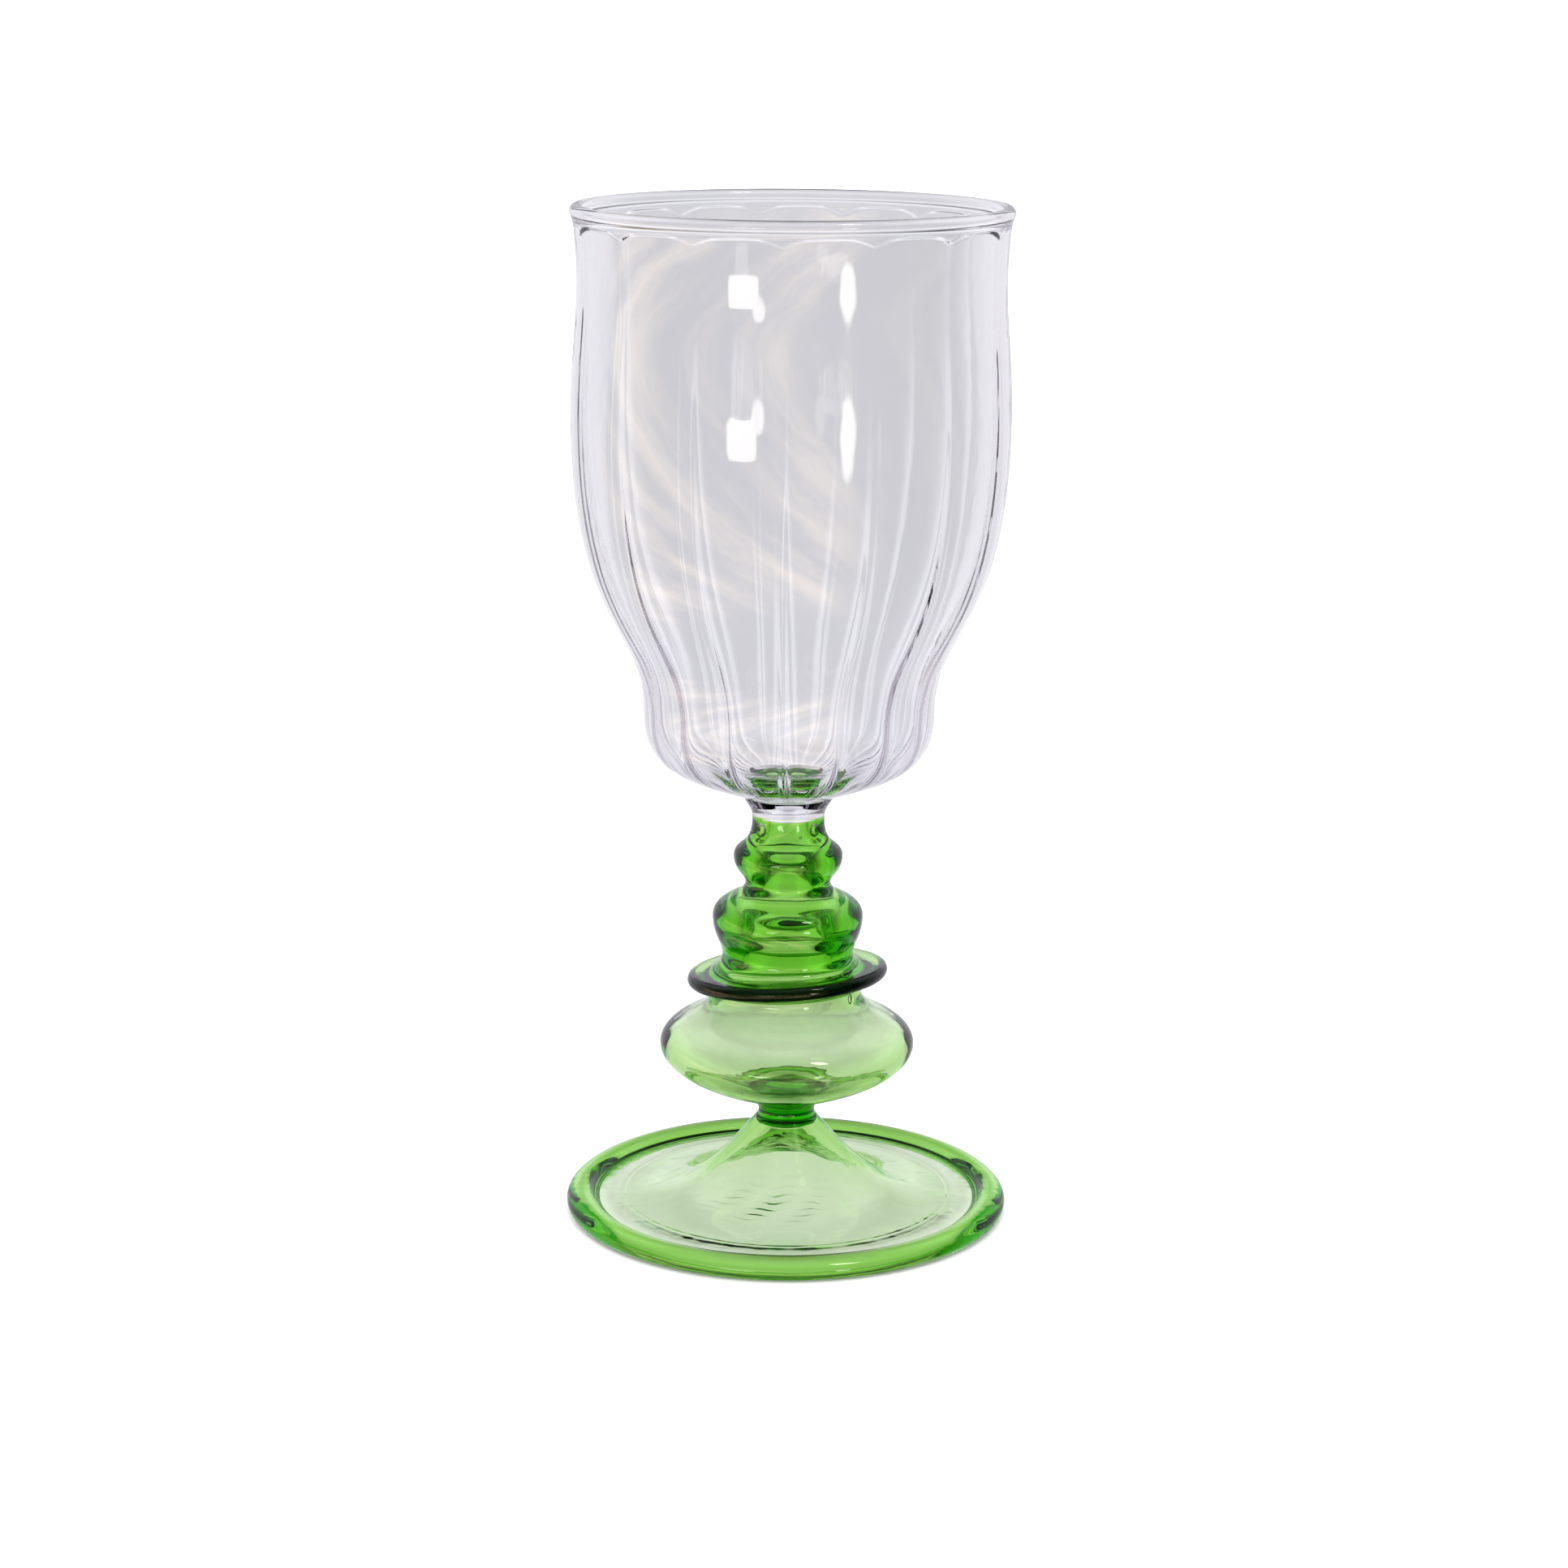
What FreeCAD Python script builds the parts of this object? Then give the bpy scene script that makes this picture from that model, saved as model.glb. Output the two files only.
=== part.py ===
import FreeCAD, Part
import math
import os

# A hand-blown wine glass: a clear ribbed bowl sealed to a hollow green stem and a hollow foot.
# Millimetres, +Z up. The origin is the centre of the circle that the foot rests on.
# A station is a (radius, height) pair on a wall that is turned about the axis.

# Bowl: outside wall, from the rim down. A pull is how strongly a curve holds on to its end's direction.
BEAD_CENTRE = (38.9, 187.95)
BEAD_RADIUS = 1.25
LIP = (39.5, 185.8)
LIP_FLARE_DEG = 7
LIP_PULL = 0.22
WAIST_PULL = 0.55
WAIST = (38.9, 175.2)
BELLY = (40.1, 151.2)
HIP = (26.9, 96.1)
BASE_EDGE = (8.6, 80.2)
BASE_SLOPE_DEG = 23
BASE_CENTRE = (0, 78.6)
BASE_PULL_OUT = 0.62
HIP_PULL_DOWN = 0.72
HIP_PULL = 0.31
BELLY_PULL_DOWN = 0.71
BELLY_PULL_UP = 0.4
WAIST_PULL_DOWN = 0.28

# Bowl: inside wall. The glass thickens from the lip to the base.
LIP_WALL = 1.25
WAIST_WALL = 1.3
BELLY_WALL = 1.4
HIP_WALL = 1.9
HIP_POLE_HEIGHT = 86.5
FLOOR_EDGE = (8.0, 82.5)
FLOOR_PULL = 10.5
FLOOR_CENTRE = (0, 81.9)

# Optic ribs: waves of extra thickness on the bowl's inside wall. One rib faces -Y, a little off centre.
RIB_COUNT = 15
RIB_TURN_DEG = -92.4
RIB_DEPTH_TOP = 0.06
RIB_DEPTH_BASE = 1.1
RIB_DEPTH_PER_RADIUS = 0.08
RIB_GROWTH = 1.2
RIB_FADE = 12
POINTS_PER_RIB = 6

# Bowl collar: the clear seal between the bowl and the stem. It rises straight from the seal, then flares.
SEAL = (6.75, 75.9)
COLLAR_RISE = 2.1
COLLAR_FLARE = (-0.7, -1.65)

# Stem: outside wall of the worked tube, from the top seal down.
KNOP = (10.2, 68.5)
KNOP_NECK = (8.0, 63.6)
BARREL = (14.1, 57.0)
BARREL_NECK = (12.3, 50.0)
BULB_NECK = (13.8, 42.9)
BULB = (23.9, 32.3)
STEM_END = (5.7, 20.3)
LOWER_PULLS = [(0.16, 0.56), (0.5, 0.47)]
UPPER_PULLS = [(0.26, 0.5), (0.61, 0.45), (0.26, 0.52), (0.4, 0.8)]

# Stem: the bore inside the thick-walled tube.
BORE_SEAL = (3.3, 75.9)
BORE_KNOP = (6.2, 68.6)
BORE_KNOP_NECK = (4.4, 63.9)
BORE_BARREL = (10.4, 57.4)
BORE_BARREL_NECK = (7.9, 50.8)
BORE_BULB_NECK = (12.0, 43.2)
BORE_BULB = (22.8, 32.5)
BORE_BULB_DROP = 5.6
BORE_FLOOR_EDGE = (6.0, 22.0)
BORE_FLOOR = (0, 22.0)
BORE_PULLS = [(0.5, 0.47), (0.4, 0.4), (0.4, 0.5), (0.5, 0.5), (0.4, 0.5), (0.4, 0.7)]

# Flange pressed out of the stem. Hand work left it slightly tilted. Its core sinks into the wall of the tube.
# Heights of the core and the fillets are from the middle of the flange.
FLANGE_RADIUS = 18.8
FLANGE_HEIGHT = 45.65
FLANGE_EDGE = 1.3
FLANGE_TILT_SIDE_DEG = 3.5
FLANGE_TILT_BACK_DEG = 3.0
FLANGE_CORE_RADIUS = 11.5
FLANGE_CORE_TOP = (11.9, 3.6)
FLANGE_CORE_BOTTOM = (13.4, -3.2)
FLANGE_FILLET_TOP = [(12.2, 1.7), (14.0, 1.5)]
FLANGE_FILLET_BOTTOM = [(15.5, -1.4), (13.8, -1.6)]

# Foot collar: the short solid seal between the stem and the foot.
FOOT_COLLAR_WAIST = (5.25, 19.1)
FOOT_TOP = (5.95, 17.7)

# Foot: a hollow cone that flares into a plate with a thick rolled rim.
CONE_SLOPE_DEG = 50
CONE_PULL = 12
FLARE_PULL = 13.5
PLATE_EDGE = (31.0, 2.95)
PLATE_RIM = (36.2, 2.85)
PLATE_DIP = 0.5
PLATE_WALL = 1.1
CAVITY_TOP = (0, 16.7)
CAVITY_SHOULDER = (4.8, 16.4)
CAVITY_TOP_FLAT = 3.6
FOOT_RIM_CENTRE = (38.75, 1.85)
FOOT_RIM_WIDTH = 5.7
FOOT_RIM_THICKNESS = 4.4

AXIS = FreeCAD.Vector(0, 0, 1)
ORIGIN = FreeCAD.Vector(0, 0, 0)
CLEARANCE = 5


def at(station):
    """The point of a station in the XZ plane."""
    return FreeCAD.Vector(station[0], 0, station[1])


def inside(station, wall):
    """The same height, with the wall's thickness taken off the radius."""
    return (station[0] - wall, station[1])


def step(station, length, slope_deg):
    """The station reached by going length along a slope, outwards and up."""
    slope = math.radians(slope_deg)
    return (station[0] + length * math.cos(slope), station[1] + length * math.sin(slope))


def curve(*stations):
    """A Bezier curve with these stations as its poles."""
    bezier = Part.BezierCurve()
    bezier.setPoles([at(station) for station in stations])
    return bezier


def swell(start, end, start_pull, end_pull):
    """A curve that leaves start and reaches end parallel to the axis. A pull is a share of the height."""
    gap = end[1] - start[1]
    start_pole = (start[0], start[1] + start_pull * gap)
    end_pole = (end[0], end[1] - end_pull * gap)
    return curve(start, start_pole, end_pole, end)


def swells(stations, pulls):
    """Swells from each station to the next, with a pair of pulls for each."""
    return [swell(start, end, *pair) for start, end, pair in zip(stations, stations[1:], pulls)]


def line(start, end):
    return Part.LineSegment(at(start), at(end))


def turn(outline):
    """The solid made by turning a closed outline about the axis."""
    wire = Part.Wire([segment.toShape() for segment in outline])
    return Part.Face(wire).revolve(ORIGIN, AXIS, 360)


def underside():
    """The middle of the bowl's underside, which the collar is sealed to."""
    centre_pole = (BASE_EDGE[0] / 2, BASE_CENTRE[1])
    edge_pole = step(BASE_EDGE, -2, BASE_SLOPE_DEG)
    return curve(BASE_CENTRE, centre_pole, edge_pole, BASE_EDGE)


def lip_flare(waist, lip):
    """The wall from the waist up to the lip, which leans outwards."""
    rise = lip[1] - waist[1]
    waist_pole = (waist[0], waist[1] + WAIST_PULL * rise)
    lip_pole = step(lip, -LIP_PULL * rise, 90 - LIP_FLARE_DEG)
    return curve(waist, waist_pole, lip_pole, lip)


def bowl_outside():
    """The bowl's outer form as a full solid, up to the middle of the rim bead."""
    base_pull = BASE_PULL_OUT * (HIP[0] - BASE_EDGE[0])
    hip_pole = (HIP[0], HIP[1] - HIP_PULL_DOWN * (HIP[1] - BASE_EDGE[1]))
    top_edge = (LIP[0], BEAD_CENTRE[1])
    top_centre = (0, BEAD_CENTRE[1])
    return turn([
        underside(),
        curve(BASE_EDGE, step(BASE_EDGE, base_pull, BASE_SLOPE_DEG), hip_pole, HIP),
        swell(HIP, BELLY, HIP_PULL, BELLY_PULL_DOWN),
        swell(BELLY, WAIST, BELLY_PULL_UP, WAIST_PULL_DOWN),
        lip_flare(WAIST, LIP),
        line(LIP, top_edge),
        line(top_edge, top_centre),
        line(top_centre, BASE_CENTRE),
    ])


def rib_depth(radius, height):
    """Ribs fade out under the rim, deepen towards the base and close in to its centre."""
    fade = min(1, max(0, (LIP[1] - height) / RIB_FADE))
    share = min(1, max(0, (WAIST[1] - height) / (WAIST[1] - HIP[1])))
    depth = RIB_DEPTH_TOP + share**RIB_GROWTH * (RIB_DEPTH_BASE - RIB_DEPTH_TOP)
    return fade * min(depth, RIB_DEPTH_PER_RADIUS * radius)


def ribbed_ring(radius, height):
    """A closed wire round the bowl's inside at one height, waved by the ribs."""
    depth = rib_depth(radius, height)
    count = RIB_COUNT * POINTS_PER_RIB
    first_rib = math.radians(RIB_TURN_DEG)
    points = []
    for index in range(count):
        turned = 2 * math.pi * index / count
        angle = first_rib + turned
        wave = depth * (1 + math.cos(RIB_COUNT * turned)) / 2
        reach = radius - wave
        points.append(FreeCAD.Vector(reach * math.cos(angle), reach * math.sin(angle), height))
    spline = Part.BSplineCurve()
    spline.interpolate(Points=points, PeriodicFlag=True)
    return Part.Wire(spline.toShape())


def bowl_cavity():
    """The space inside the bowl, lofted through ribbed rings and open past the rim."""
    lip = inside(LIP, LIP_WALL)
    waist = inside(WAIST, WAIST_WALL)
    belly = inside(BELLY, BELLY_WALL)
    hip = inside(HIP, HIP_WALL)
    floor = curve(
        FLOOR_CENTRE,
        (FLOOR_EDGE[0] / 2, FLOOR_CENTRE[1]),
        step(FLOOR_EDGE, -2, BASE_SLOPE_DEG),
        FLOOR_EDGE,
    )
    shoulder = curve(
        FLOOR_EDGE,
        step(FLOOR_EDGE, FLOOR_PULL, BASE_SLOPE_DEG),
        (hip[0], HIP_POLE_HEIGHT),
        hip,
    )
    walls = [
        (shoulder, 8),
        (swell(hip, belly, HIP_PULL, BELLY_PULL_DOWN), 7),
        (swell(belly, waist, BELLY_PULL_UP, WAIST_PULL_DOWN), 3),
        (lip_flare(waist, lip), 2),
    ]
    rings = [floor.value(share) for share in (0.3, 0.6, 0.85)]
    for wall, parts in walls:
        rings += [wall.value(index / parts) for index in range(parts)]
    rings.append(at(lip))
    rings.append(at((lip[0], BEAD_CENTRE[1] + CLEARANCE)))
    return Part.makeLoft([ribbed_ring(ring.x, ring.z) for ring in rings], True)


def bowl():
    """The ribbed bowl with its fire-polished rim bead."""
    wall = bowl_outside().cut(bowl_cavity())
    bead = Part.makeTorus(BEAD_CENTRE[0], BEAD_RADIUS, FreeCAD.Vector(0, 0, BEAD_CENTRE[1]), AXIS)
    return wall.fuse(bead)


def bowl_collar():
    """Clear collar. Its top takes the bowl's underside and its bottom is flat on the stem."""
    seal_centre = (0, SEAL[1])
    flare_pole = (BASE_EDGE[0] + COLLAR_FLARE[0], BASE_EDGE[1] + COLLAR_FLARE[1])
    return turn([
        line(seal_centre, SEAL),
        curve(SEAL, (SEAL[0], SEAL[1] + COLLAR_RISE), flare_pole, BASE_EDGE),
        underside(),
        line(BASE_CENTRE, seal_centre),
    ])


def from_flange(offset):
    """The station at this radius and this height from the flange's middle."""
    return (offset[0], FLANGE_HEIGHT + offset[1])


def flange():
    """The thin flange, turned level and then tilted about its own centre."""
    edge_circle = FLANGE_RADIUS - FLANGE_EDGE
    top = (edge_circle, FLANGE_HEIGHT + FLANGE_EDGE)
    bottom = (edge_circle, FLANGE_HEIGHT - FLANGE_EDGE)
    core_top = from_flange(FLANGE_CORE_TOP)
    core_bottom = from_flange(FLANGE_CORE_BOTTOM)
    fillet_top = [from_flange(offset) for offset in FLANGE_FILLET_TOP]
    fillet_bottom = [from_flange(offset) for offset in FLANGE_FILLET_BOTTOM]
    inner_top = (FLANGE_CORE_RADIUS, core_top[1])
    inner_bottom = (FLANGE_CORE_RADIUS, core_bottom[1])
    level = turn([
        curve(core_top, *fillet_top, top),
        Part.Arc(at(top), at((FLANGE_RADIUS, FLANGE_HEIGHT)), at(bottom)),
        curve(bottom, *fillet_bottom, core_bottom),
        line(core_bottom, inner_bottom),
        line(inner_bottom, inner_top),
        line(inner_top, core_top),
    ])
    centre = FreeCAD.Vector(0, 0, FLANGE_HEIGHT)
    level.rotate(centre, FreeCAD.Vector(0, 1, 0), -FLANGE_TILT_SIDE_DEG)
    level.rotate(centre, FreeCAD.Vector(1, 0, 0), -FLANGE_TILT_BACK_DEG)
    return level


def stem_outside():
    """The tube's outer form without the flange."""
    end_centre = (0, STEM_END[1])
    seal_centre = (0, SEAL[1])
    return turn([
        line(end_centre, STEM_END),
        *swells([STEM_END, BULB, BULB_NECK], LOWER_PULLS),
        line(BULB_NECK, BARREL_NECK),
        *swells([BARREL_NECK, BARREL, KNOP_NECK, KNOP, SEAL], UPPER_PULLS),
        line(SEAL, seal_centre),
        line(seal_centre, end_centre),
    ])


def stem_bore():
    """The hollow inside the tube, open at the top seal and closed above the foot."""
    above_seal = (BORE_SEAL[0], BORE_SEAL[1] + CLEARANCE)
    above_centre = (0, above_seal[1])
    bulb_pole = (BORE_BULB[0], BORE_BULB[1] - BORE_BULB_DROP)
    stations = [
        BORE_BULB,
        BORE_BULB_NECK,
        BORE_BARREL_NECK,
        BORE_BARREL,
        BORE_KNOP_NECK,
        BORE_KNOP,
        BORE_SEAL,
    ]
    return turn([
        curve(BORE_FLOOR, BORE_FLOOR_EDGE, bulb_pole, BORE_BULB),
        *swells(stations, BORE_PULLS),
        line(BORE_SEAL, above_seal),
        line(above_seal, above_centre),
        line(above_centre, BORE_FLOOR),
    ])


def stem():
    """One worked green tube: knop, barrel, tilted flange and bulb on a single bore."""
    return stem_outside().fuse(flange()).cut(stem_bore()).removeSplitter()


def foot_collar():
    """Short solid seal with a waisted side."""
    top_centre = (0, STEM_END[1])
    bottom_centre = (0, FOOT_TOP[1])
    return turn([
        line(bottom_centre, FOOT_TOP),
        Part.Arc(at(FOOT_TOP), at(FOOT_COLLAR_WAIST), at(STEM_END)),
        line(STEM_END, top_centre),
        line(top_centre, bottom_centre),
    ])


def foot_plate():
    """The cone and the flared plate, with the cavity under them."""
    cone_pole = step(FOOT_TOP, CONE_PULL, -CONE_SLOPE_DEG)
    flare_pole = (PLATE_EDGE[0] - FLARE_PULL, PLATE_EDGE[1])
    dip_pole = ((PLATE_EDGE[0] + PLATE_RIM[0]) / 2, PLATE_EDGE[1] - PLATE_DIP)
    rim_below = (PLATE_RIM[0], PLATE_RIM[1] - PLATE_WALL)
    edge_below = (PLATE_EDGE[0], PLATE_EDGE[1] - PLATE_WALL)
    flare_pole_below = (edge_below[0] - FLARE_PULL, edge_below[1])
    cone_pole_below = step(CAVITY_SHOULDER, CONE_PULL, -CONE_SLOPE_DEG)
    top_centre = (0, FOOT_TOP[1])
    return turn([
        line(top_centre, FOOT_TOP),
        curve(FOOT_TOP, cone_pole, flare_pole, PLATE_EDGE),
        curve(PLATE_EDGE, dip_pole, PLATE_RIM),
        line(PLATE_RIM, rim_below),
        line(rim_below, edge_below),
        curve(edge_below, flare_pole_below, cone_pole_below, CAVITY_SHOULDER),
        curve(CAVITY_SHOULDER, (CAVITY_TOP_FLAT, CAVITY_TOP[1]), CAVITY_TOP),
        line(CAVITY_TOP, top_centre),
    ])


def foot_rim():
    """The thick rolled rim, flat underneath where the glass rests."""
    ellipse = Part.Ellipse(at(FOOT_RIM_CENTRE), FOOT_RIM_WIDTH / 2, FOOT_RIM_THICKNESS / 2)
    ellipse.Axis = FreeCAD.Vector(0, -1, 0)
    ellipse.XAxis = FreeCAD.Vector(1, 0, 0)
    ring = turn([ellipse])
    below = Part.makeCylinder(2 * FOOT_RIM_CENTRE[0], CLEARANCE, FreeCAD.Vector(0, 0, -CLEARANCE), AXIS)
    return ring.cut(below)


def foot():
    return foot_plate().fuse(foot_rim()).removeSplitter()


def save(name, shape):
    """Writes one sub-part, which is always a single solid."""
    solid = shape.Solids[0]
    solid.exportStep(os.path.join("parts", name + ".step"))


os.makedirs("parts", exist_ok=True)
save("bowl", bowl())
save("bowl_collar", bowl_collar())
save("stem", stem())
save("foot_collar", foot_collar())
save("foot", foot())
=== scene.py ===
import math

import bpy
import numpy as np
from mathutils import Matrix


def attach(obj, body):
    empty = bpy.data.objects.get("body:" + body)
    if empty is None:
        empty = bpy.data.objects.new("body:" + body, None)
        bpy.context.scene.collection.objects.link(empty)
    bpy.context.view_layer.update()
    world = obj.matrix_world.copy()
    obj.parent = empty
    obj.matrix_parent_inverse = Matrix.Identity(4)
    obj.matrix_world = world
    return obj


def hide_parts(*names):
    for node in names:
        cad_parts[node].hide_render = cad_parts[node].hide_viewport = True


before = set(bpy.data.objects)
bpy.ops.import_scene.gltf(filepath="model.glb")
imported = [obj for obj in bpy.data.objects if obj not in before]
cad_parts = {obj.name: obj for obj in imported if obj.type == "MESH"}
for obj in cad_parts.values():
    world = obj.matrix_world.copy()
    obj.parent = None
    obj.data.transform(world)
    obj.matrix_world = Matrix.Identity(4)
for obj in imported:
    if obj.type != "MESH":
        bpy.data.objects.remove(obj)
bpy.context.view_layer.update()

# A hand-blown wine glass: a clear fluted bowl on a hollow green stem and foot, in a soft studio.
# A station is a (radius, height) pair in millimetres on a wall that is turned about the glass's axis.
# A pull is how far a curve's pole stands from its end, as a share of the gap that the curve crosses.
# A reach is the same in millimetres.
MM = 0.001
DEGREES_PER_RADIAN = 57.2958

# Bowl, outside and inside.
BEAD_CENTRE = (38.9, 187.95)
BEAD_RADIUS = 1.25
BEAD_BLEND_DEG = 25
LIP = (39.5, 185.8)
LIP_FLARE_DEG = 7
WAIST = (38.9, 175.2)
BELLY = (40.1, 151.2)
HIP = (26.9, 96.1)
BASE_EDGE = (8.6, 80.2)
BASE_SLOPE_DEG = 23
BASE_EDGE_REACH = 2
BASE_CENTRE = (0, 78.6)
BASE_PULL_OUT = 0.62
HIP_PULL_DOWN = 0.72
HIP_PULL = 0.31
BELLY_PULL_DOWN = 0.71
BELLY_PULL_UP = 0.4
WAIST_PULL_DOWN = 0.28
WAIST_PULL = 0.55
LIP_PULL = 0.22
BEAD_REACH = 0.6
LIP_WALL = 1.25
WAIST_WALL = 1.3
BELLY_WALL = 1.4
HIP_WALL = 1.9
HIP_POLE_HEIGHT = 86.5
FLOOR_EDGE = (8.0, 82.5)
FLOOR_REACH = 10.5
FLOOR_EDGE_REACH = 2
FLOOR_CENTRE = (0, 81.9)
FLOOR_CENTRE_REACH = 3
RIM_SPACING = 0.1
LIP_SPACING = 0.2

# Optic flutes pressed into the inside of the bowl. Each ends just below the rim in a shallow arch.
FLUTE_COUNT = 15
RIDGE_TURN_DEG = -2.4
ARCH_TOP = 186.4
ARCH_DROP = 1.6
ARCH_SQUARENESS = 3.0
LEDGE_HEIGHT = 0.85
LEDGE_DEPTH = 0.33
LEDGE_FADE = 5.0
FLUTE_DEPTH_TOP = 0.06
FLUTE_DEPTH_BASE = 1.1
FLUTE_GROWTH = 1.2
FLUTE_DEPTH_PER_RADIUS = 0.08
FLUTE_FULLNESS = 0.6
FLUTE_SQUARENESS_TOP = 8.0
FLUTE_SQUARENESS_BASE = 2.6
FLUTE_SQUARENESS_GROWTH = 0.5
BEAD_OVERLAP = 0.4

# Stem, outside and bore.
SEAL = (6.75, 75.9)
KNOP = (10.2, 68.5)
KNOP_NECK = (8.0, 63.6)
BARREL = (14.1, 57.0)
BARREL_NECK = (12.3, 50.0)
BULB_NECK = (13.8, 42.9)
BULB = (23.9, 32.3)
STEM_END = (5.7, 20.3)
LOWER_PULLS = [(0.16, 0.56), (0.5, 0.47)]
UPPER_PULLS = [(0.26, 0.5), (0.61, 0.45), (0.26, 0.52), (0.4, 0.8)]
BORE_SEAL = (3.3, 75.9)
BORE_KNOP = (6.2, 68.6)
BORE_KNOP_NECK = (4.4, 63.9)
BORE_BARREL = (10.4, 57.4)
BORE_BARREL_NECK = (7.9, 50.8)
BORE_BULB_NECK = (12.0, 43.2)
BORE_BULB = (22.8, 32.5)
BORE_BULB_DROP = 5.6
BORE_FLOOR_EDGE = (6.0, 22.0)
BORE_FLOOR = (0, 22.0)
BORE_PULLS = [(0.7, 0.4), (0.5, 0.4), (0.5, 0.5), (0.5, 0.4), (0.4, 0.4), (0.47, 0.5)]

# Bubbles trapped in the stem's wall.
BUBBLES = [
    # centre, radius, stretch along the axis
    ((-4.6, -3.0, 74.0), 1.15, 1.3),
    ((4.4, -3.4, 74.2), 1.0, 1.4),
    ((11.2, -6.2, 42.6), 0.55, 2.2),
    ((2.0, -4.5, 73.0), 0.3, 1.0),
]

# Flange pressed out of the stem, slightly tilted. A core of near-black glass in its edge is painted
# shade, thickest in front, so that the edge looks dark from the front.
# Poles of the curves that blend it into the stem are (radius, height from the flange's middle).
FLANGE_RADIUS = 18.8
FLANGE_HEIGHT = 45.65
FLANGE_EDGE = 1.3
FLANGE_TILT_SIDE_DEG = 3.5
FLANGE_TILT_BACK_DEG = 3.0
FLANGE_TILT_START = BARREL_NECK[0] - 1
FLANGE_TILT_FADE = 3.0
FLANGE_BELOW = [(13.8, -1.95), (15.0, -1.4)]
FLANGE_ABOVE = [(14.2, 1.4), (12.3, 1.8)]
# The core of painted shade in the flange's edge: its size, its thinnest share at the back, how far it
# leans to the front, and its mesh.
SHADE_CORE_RADIUS = 1.15
SHADE_CORE_THINNEST = 0.15
SHADE_FRONT_BIAS = 0.45
SHADE_CORE_SEGMENTS = 180
SHADE_CORE_SIDES = 16

# Bowl collar: the clear seal between the bowl and the stem.
COLLAR_RISE = 2.1
COLLAR_FLARE = (-0.7, -1.65)

# Foot collar and foot.
FOOT_COLLAR_WAIST = (5.25, 19.1)
FOOT_TOP = (5.95, 17.7)
CONE_SLOPE_DEG = 50
CONE_REACH = 12
FLARE_REACH = 13.5
PLATE_EDGE = (31.0, 2.95)
PLATE_RIM = (36.2, 2.85)
PLATE_DIP = 0.5
PLATE_WALL = 1.1
CAVITY_TOP = (0, 16.7)
CAVITY_SHOULDER = (4.8, 16.4)
CAVITY_TOP_FLAT = 3.6
CAVITY_SPACING = 0.25
CONE_SPACING = 0.2
FOOT_RIM_CENTRE = (38.75, 1.85)
FOOT_RIM_WIDTH = 5.7
FOOT_RIM_THICKNESS = 4.4

# Tool marks on the foot: a fine groove on top, ripples underneath, and a slow swirl.
# The ripples' lean is a sum of waves round the axis: (size in radians, waves, phase).
# Their patches have (waves round the axis, radians for each millimetre outward).
GROOVE_RADIUS = 30.8
GROOVE_WIDTH = 0.35
GROOVE_DEPTH = 0.09
RIPPLE_RADIUS = 16.5
RIPPLE_WIDTH = 4.5
RIPPLE_RADIANS_PER_MM = 4.2
RIPPLE_HEIGHT = 0.13
RIPPLE_LEAN = [(2.2, 3, 0.4), (1.1, 8, 0.0), (0.6, 23, 0.0)]
RIPPLE_PATCHES = (13, 0.7)
RIPPLE_TURN = 0.15
RIPPLE_NARROWING = 6
PLATE_SWIRL = 0.05
SWIRL_START = 6
SWIRL_GROWTH = 12
SWIRL_END = 4
SWIRL_WAVES = (1, 2, 3, 4, 5, 7)
SWIRL_LEAN = 0.12
SWIRL_SEED = 3

# Meshes, and how many faces go round each piece. Sealed faces stand a hair apart, so that a ray leaves
# one piece before it enters the next.
STEP = 0.45
SEAL_GAP = 0.02
BOWL_SEGMENTS = 360
STEM_SEGMENTS = 320
COLLAR_SEGMENTS = 240
FOOT_SEGMENTS = 360

# Glass. Haze and waves are noise on the surface, and their scales are per metre.
# The density is a little above the highest rate of absorption.
AIR_IOR = 1.0
GLASS_IOR = 1.47
HAZE_SCALE = 60.0
HAZE_DETAIL = 3
HAZE_ROUGHNESS = (0.0, 0.006)
HAZE_RANGE = (0.45, 0.75)
WAVE_SCALE = 110.0
WAVE_DETAIL = 2
DENSITY_MARGIN = 1.05


def step(station, length, slope_deg):
    """The station at this distance along this slope."""
    slope = math.radians(slope_deg)
    return (station[0] + length * math.cos(slope), station[1] + length * math.sin(slope))


def inside(station, wall):
    """The inner wall's station, level with the outer one."""
    return (station[0] - wall, station[1])


def curve(*stations, spacing=STEP):
    """Points along the Bezier curve with these stations as its poles."""
    poles = np.array(stations, float)
    length = np.hypot(*np.diff(poles, axis=0).T).sum()
    share = np.linspace(0, 1, max(3, int(length / spacing) + 1))[:, None]
    degree = len(poles) - 1
    points = 0
    for index, pole in enumerate(poles):
        weight = math.comb(degree, index) * share**index * (1 - share) ** (degree - index)
        points = points + weight * pole
    return points


def swell(start, end, start_pull, end_pull):
    """A curve that leaves start and reaches end parallel to the axis."""
    gap = end[1] - start[1]
    start_pole = (start[0], start[1] + start_pull * gap)
    end_pole = (end[0], end[1] - end_pull * gap)
    return curve(start, start_pole, end_pole, end)


def swells(stations, pulls):
    """Swells from each station to the next, joined, with a pair of pulls for each."""
    runs = [swell(start, end, *pair) for start, end, pair in zip(stations, stations[1:], pulls)]
    return np.concatenate([runs[0]] + [run[1:] for run in runs[1:]])


def arc(centre, width, thickness, start_deg, end_deg):
    """Points along an elliptical arc."""
    turn = abs(math.radians(end_deg - start_deg))
    count = max(8, int(turn * max(width, thickness) / 2 / (STEP / 2)))
    angle = np.radians(np.linspace(start_deg, end_deg, count))
    across, upward = width / 2 * np.cos(angle), thickness / 2 * np.sin(angle)
    return np.column_stack([centre[0] + across, centre[1] + upward])


def eased(share):
    """A share from 0 to 1, slow at both ends."""
    share = np.clip(share, 0, 1)
    return share**2 * (3 - 2 * share)


def raised(points, height):
    return points + np.array([0, height])


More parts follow.
